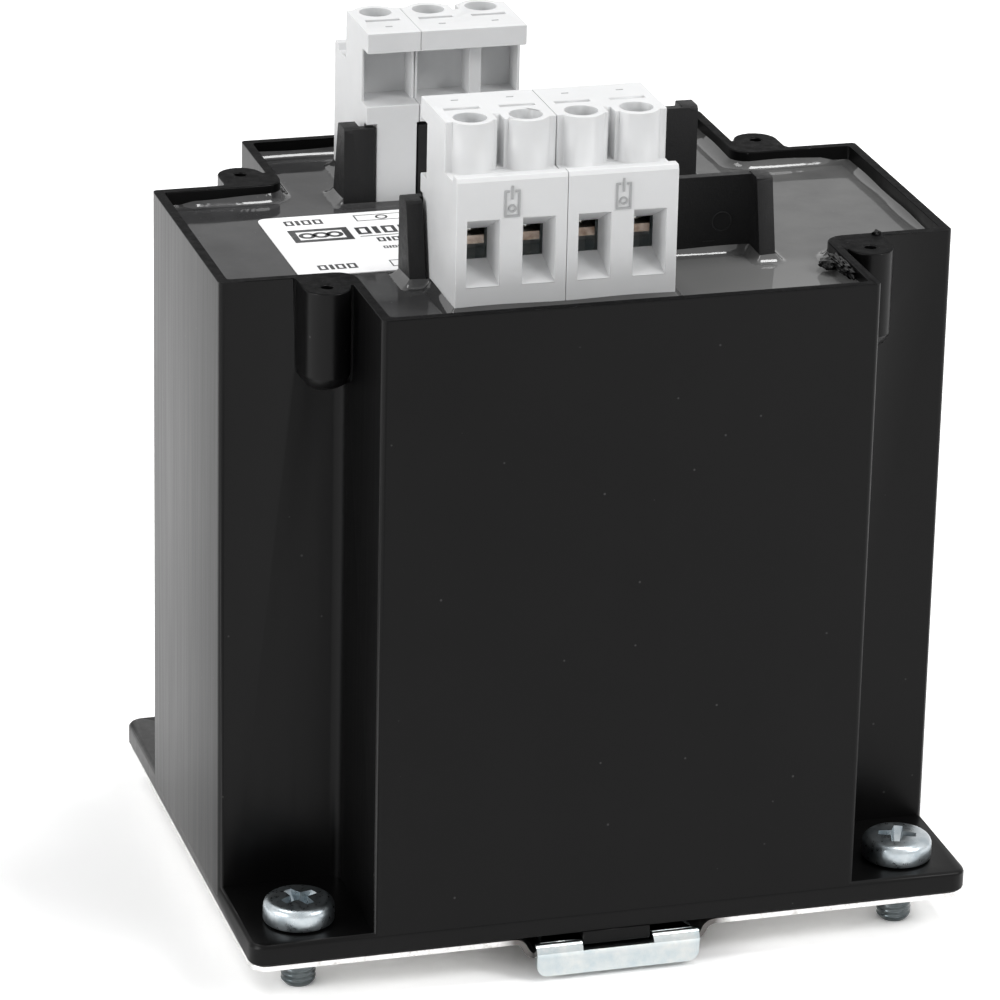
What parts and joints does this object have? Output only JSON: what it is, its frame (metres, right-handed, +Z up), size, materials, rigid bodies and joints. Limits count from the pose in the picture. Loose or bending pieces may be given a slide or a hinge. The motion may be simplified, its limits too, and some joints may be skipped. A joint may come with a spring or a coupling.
{
  "type": "control transformer",
  "caption": "Potted control transformer with screw terminals on top and a sprung latch for a 35 mm rail below.",
  "frame": {"origin": "centre of the footprint on the surface that the flange screws' tips stand on", "axes": "+Z up, the primary terminals and the rail latch face -Y, the rail runs along X"},
  "size_m": [0.1064, 0.083, 0.1235],
  "materials": {
    "dull_zinc_sheet": "dull galvanised sheet",
    "bright_zinc": "bright zinc plating",
    "black_thermoplastic": "satin moulded black",
    "grained_black_thermoplastic": "fine grained black",
    "grey_resin": "poured and cured, glossy",
    "light_grey_polyamide": "moulded light grey, satin",
    "label_paper": "white label film",
    "lamination_iron": "stacked electrical sheet",
    "bobbin_nylon": "natural nylon",
    "enamelled_copper": "enamelled wire",
    "insulation_tape": "polyester tape",
    "tinned_copper": "tinned"
  },
  "bodies": {
    "transformer": {"mounting_plate": "dull_zinc_sheet", "latch_spring": "bright_zinc", "housing": "black_thermoplastic", "flange_screw_1": "bright_zinc", "flange_screw_2": "bright_zinc", "flange_screw_3": "bright_zinc", "flange_screw_4": "bright_zinc", "core_e_stack": "lamination_iron", "core_i_stack": "lamination_iron", "bobbin": "bobbin_nylon", "primary_winding": "enamelled_copper", "winding_insulation": "insulation_tape", "secondary_winding": "enamelled_copper", "lead_1": "enamelled_copper", "lead_2": "enamelled_copper", "lead_3": "enamelled_copper", "lead_4": "enamelled_copper", "lead_5": "enamelled_copper", "lead_6": "enamelled_copper", "lead_7": "enamelled_copper", "front_terminal_carrier": "grained_black_thermoplastic", "rear_terminal_carrier": "grained_black_thermoplastic", "front_terminal_body_left": "light_grey_polyamide", "front_terminal_body_right": "light_grey_polyamide", "rear_terminal_body_single": "light_grey_polyamide", "rear_terminal_body_double": "light_grey_polyamide", "contact_bar_1": "tinned_copper", "contact_bar_2": "tinned_copper", "contact_bar_3": "tinned_copper", "contact_bar_4": "tinned_copper", "contact_bar_5": "tinned_copper", "contact_bar_6": "tinned_copper", "contact_bar_7": "tinned_copper", "potting_compound": "grey_resin", "rating_label": "label_paper"},
    "latch": {"rail_latch": "bright_zinc"},
    "screw_1": {"terminal_screw_1": "bright_zinc"},
    "clamp_1": {"wire_clamp_1": "bright_zinc"},
    "screw_2": {"terminal_screw_2": "bright_zinc"},
    "clamp_2": {"wire_clamp_2": "bright_zinc"},
    "screw_3": {"terminal_screw_3": "bright_zinc"},
    "clamp_3": {"wire_clamp_3": "bright_zinc"},
    "screw_4": {"terminal_screw_4": "bright_zinc"},
    "clamp_4": {"wire_clamp_4": "bright_zinc"},
    "screw_5": {"terminal_screw_5": "bright_zinc"},
    "clamp_5": {"wire_clamp_5": "bright_zinc"},
    "screw_6": {"terminal_screw_6": "bright_zinc"},
    "clamp_6": {"wire_clamp_6": "bright_zinc"},
    "screw_7": {"terminal_screw_7": "bright_zinc"},
    "clamp_7": {"wire_clamp_7": "bright_zinc"}
  },
  "joints": [
    {"name": "latch_slide", "type": "slide", "parent": "transformer", "child": "latch", "axis": [0, -1, 0], "range_m": [0, 0.004], "stiffness_N_per_m": 800, "springref_m": -0.002, "deforming": ["latch_spring"]},
    {"name": "screw_1_turn", "type": "hinge", "parent": "transformer", "child": "screw_1", "pos_m": [-0.01962, -0.02505, 0.11785], "axis": [0, 0, -1], "range_deg": [0, 1440]},
    {"name": "clamp_1_lift", "type": "slide", "parent": "transformer", "child": "clamp_1", "axis": [0, 0, 1], "range_m": [0, 0.002]},
    {"name": "screw_2_turn", "type": "hinge", "parent": "transformer", "child": "screw_2", "pos_m": [-0.01175, -0.02505, 0.11785], "axis": [0, 0, -1], "range_deg": [0, 1440]},
    {"name": "clamp_2_lift", "type": "slide", "parent": "transformer", "child": "clamp_2", "axis": [0, 0, 1], "range_m": [0, 0.002]},
    {"name": "screw_3_turn", "type": "hinge", "parent": "transformer", "child": "screw_3", "pos_m": [-0.00387, -0.02505, 0.11785], "axis": [0, 0, -1], "range_deg": [0, 1440]},
    {"name": "clamp_3_lift", "type": "slide", "parent": "transformer", "child": "clamp_3", "axis": [0, 0, 1], "range_m": [0, 0.002]},
    {"name": "screw_4_turn", "type": "hinge", "parent": "transformer", "child": "screw_4", "pos_m": [0.004, -0.02505, 0.11785], "axis": [0, 0, -1], "range_deg": [0, 1440]},
    {"name": "clamp_4_lift", "type": "slide", "parent": "transformer", "child": "clamp_4", "axis": [0, 0, 1], "range_m": [0, 0.002]},
    {"name": "screw_5_turn", "type": "hinge", "parent": "transformer", "child": "screw_5", "pos_m": [-0.01922, 0.02655, 0.11785], "axis": [0, 0, -1], "range_deg": [0, 1440]},
    {"name": "clamp_5_lift", "type": "slide", "parent": "transformer", "child": "clamp_5", "axis": [0, 0, 1], "range_m": [0, 0.002]},
    {"name": "screw_6_turn", "type": "hinge", "parent": "transformer", "child": "screw_6", "pos_m": [-0.01136, 0.02655, 0.11785], "axis": [0, 0, -1], "range_deg": [0, 1440]},
    {"name": "clamp_6_lift", "type": "slide", "parent": "transformer", "child": "clamp_6", "axis": [0, 0, 1], "range_m": [0, 0.002]},
    {"name": "screw_7_turn", "type": "hinge", "parent": "transformer", "child": "screw_7", "pos_m": [-0.00348, 0.02655, 0.11785], "axis": [0, 0, -1], "range_deg": [0, 1440]},
    {"name": "clamp_7_lift", "type": "slide", "parent": "transformer", "child": "clamp_7", "axis": [0, 0, 1], "range_m": [0, 0.002]}
  ],
  "couplings": [
    {"joint": "screw_1_turn", "follows": "clamp_1_lift", "rad_per_m": 12566},
    {"joint": "screw_2_turn", "follows": "clamp_2_lift", "rad_per_m": 12566},
    {"joint": "screw_3_turn", "follows": "clamp_3_lift", "rad_per_m": 12566},
    {"joint": "screw_4_turn", "follows": "clamp_4_lift", "rad_per_m": 12566},
    {"joint": "screw_5_turn", "follows": "clamp_5_lift", "rad_per_m": 12566},
    {"joint": "screw_6_turn", "follows": "clamp_6_lift", "rad_per_m": 12566},
    {"joint": "screw_7_turn", "follows": "clamp_7_lift", "rad_per_m": 12566}
  ]
}
